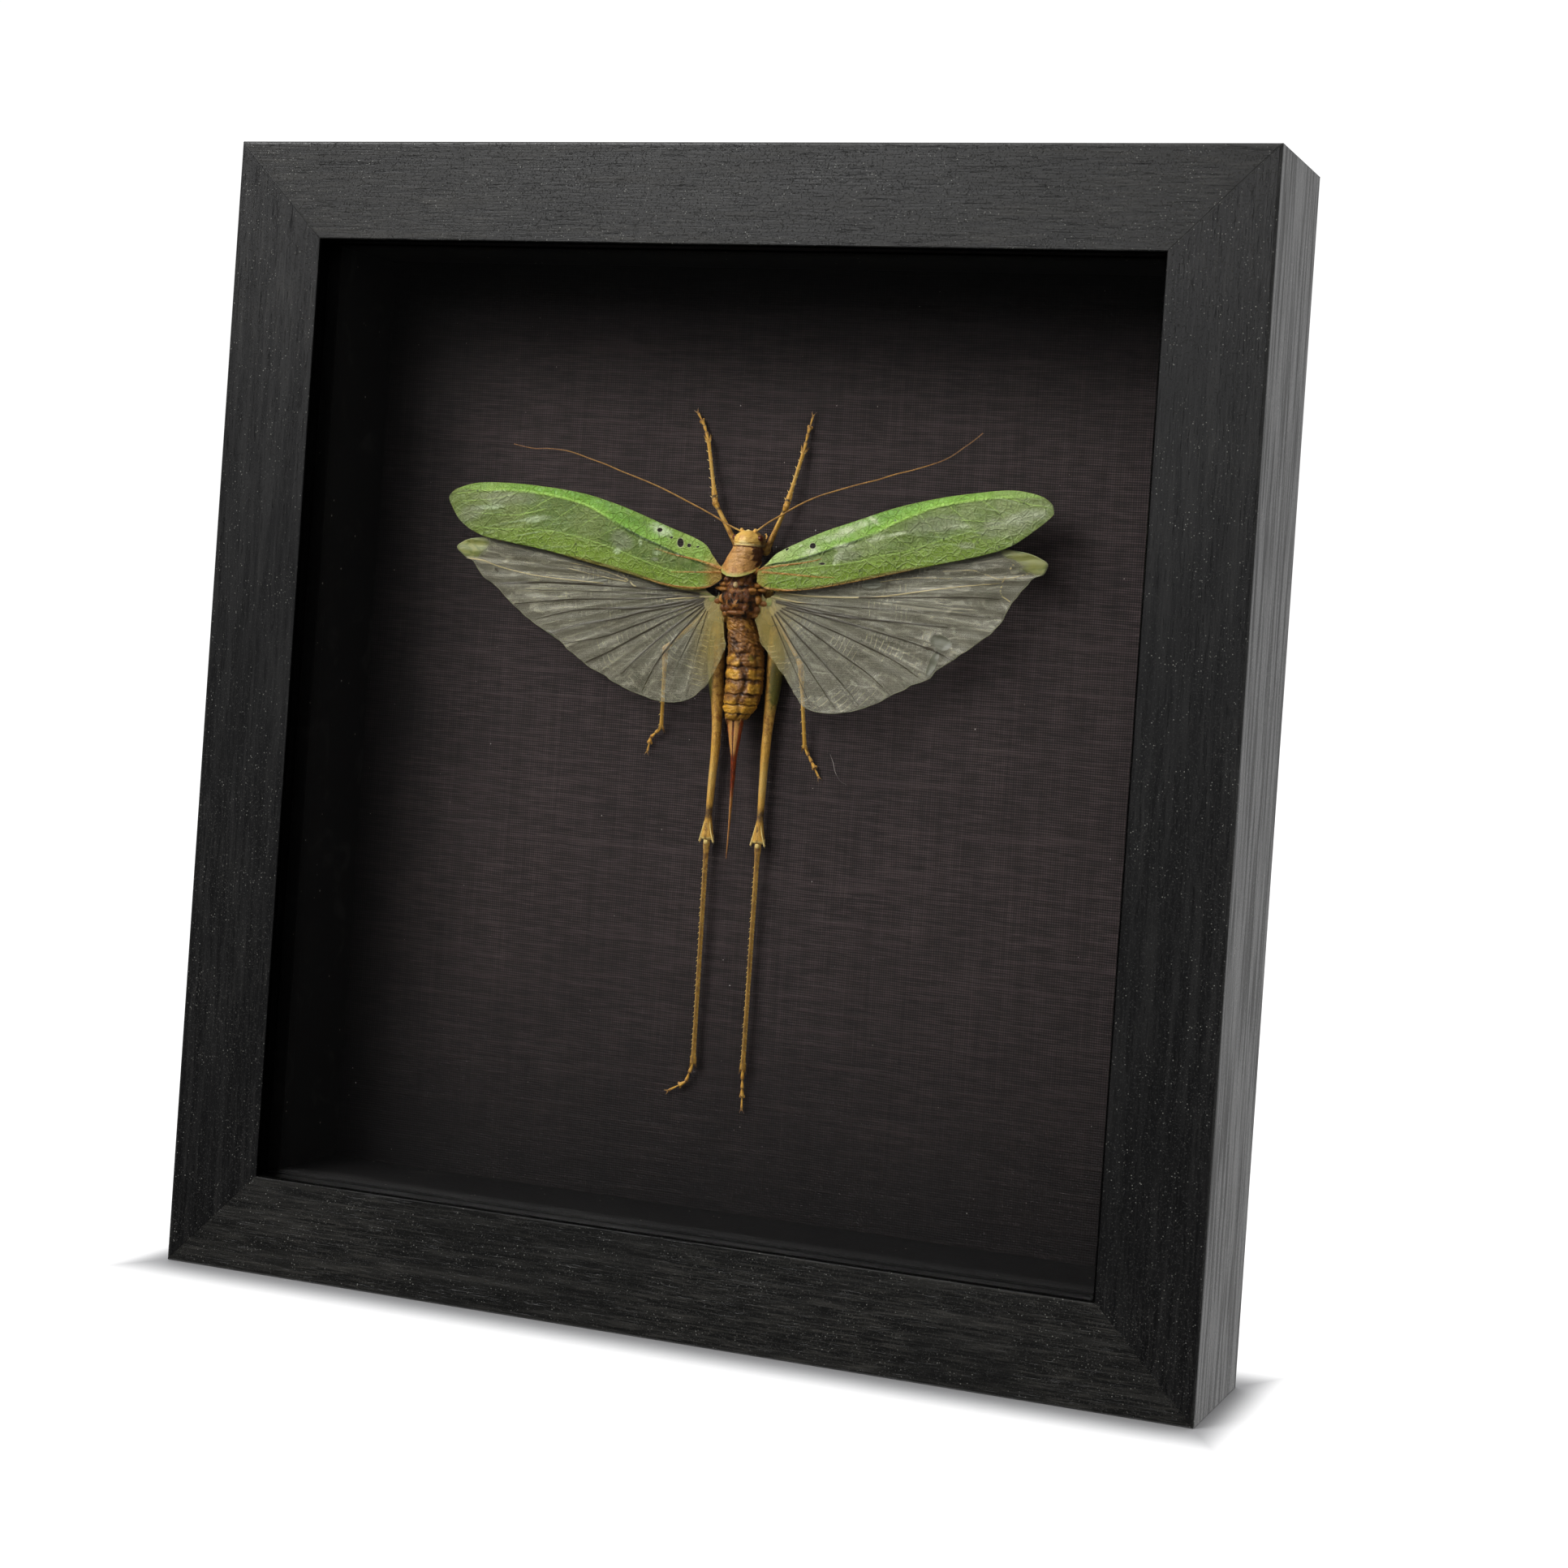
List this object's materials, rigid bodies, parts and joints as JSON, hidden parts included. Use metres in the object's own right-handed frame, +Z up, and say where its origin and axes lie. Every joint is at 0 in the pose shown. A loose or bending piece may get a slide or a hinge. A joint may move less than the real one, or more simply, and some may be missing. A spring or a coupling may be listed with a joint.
{
  "type": "framed katydid specimen",
  "caption": "Upright glazed black wooden case with a dried katydid, wings spread, fixed on its dark cloth-covered back board.",
  "frame": {"origin": "middle of the flat base face that the case stands on", "axes": "+Z up the case, -Y out of the glazed front, +X to the right seen from the front"},
  "size_m": [0.203, 0.033, 0.217],
  "materials": {
    "stained_wood": "black stain, open grain, matt",
    "glass": "clear, polished",
    "spacer_card": "black card strip, matt",
    "black_cloth_board": "board covered in fine black woven cloth",
    "back_board": "dark fibre board, matt",
    "steel": "bright zinc",
    "nail": "brass-plated nail",
    "glue": "clear amber glue dab",
    "head_shell": "dried insect shell, orange brown",
    "pronotum_shell": "dried insect shell, tan with a green rim",
    "thorax_shell": "dried insect shell, glossy dark brown",
    "abdomen_shell": "dried insect shell, brown and gold bands",
    "ovipositor_shell": "dried insect shell, red brown",
    "forewing_membrane": "leathery green wing with pale veins",
    "hindwing_membrane": "thin clear grey wing with dark veins",
    "antenna_shell": "dried insect shell, orange brown",
    "leg_shell": "dried insect shell, golden ochre"
  },
  "bodies": {
    "root": {"frame_top_rail": "stained_wood", "frame_bottom_rail": "stained_wood", "frame_left_stile": "stained_wood", "frame_right_stile": "stained_wood", "glass_pane": "glass", "spacer_top": "spacer_card", "spacer_bottom": "spacer_card", "spacer_left": "spacer_card", "spacer_right": "spacer_card", "mount_board": "black_cloth_board", "back_panel": "back_board", "retainer_tab_1": "steel", "retainer_tab_2": "steel", "retainer_tab_3": "steel", "retainer_tab_4": "steel", "retainer_tab_5": "steel", "retainer_tab_6": "steel", "retainer_tab_7": "steel", "retainer_tab_8": "steel", "sawtooth_hanger": "steel", "hanger_nail_left": "nail", "hanger_nail_right": "nail", "mounting_glue": "glue", "head": "head_shell", "pronotum": "pronotum_shell", "thorax": "thorax_shell", "abdomen": "abdomen_shell", "ovipositor": "ovipositor_shell", "forewing_left": "forewing_membrane", "forewing_right": "forewing_membrane", "hindwing_left": "hindwing_membrane", "hindwing_right": "hindwing_membrane", "antenna_left": "antenna_shell", "antenna_right": "antenna_shell", "foreleg_left": "leg_shell", "foreleg_right": "leg_shell", "midleg_left": "leg_shell", "midleg_right": "leg_shell", "hindleg_left": "leg_shell", "hindleg_right": "leg_shell"}
  },
  "joints": []
}
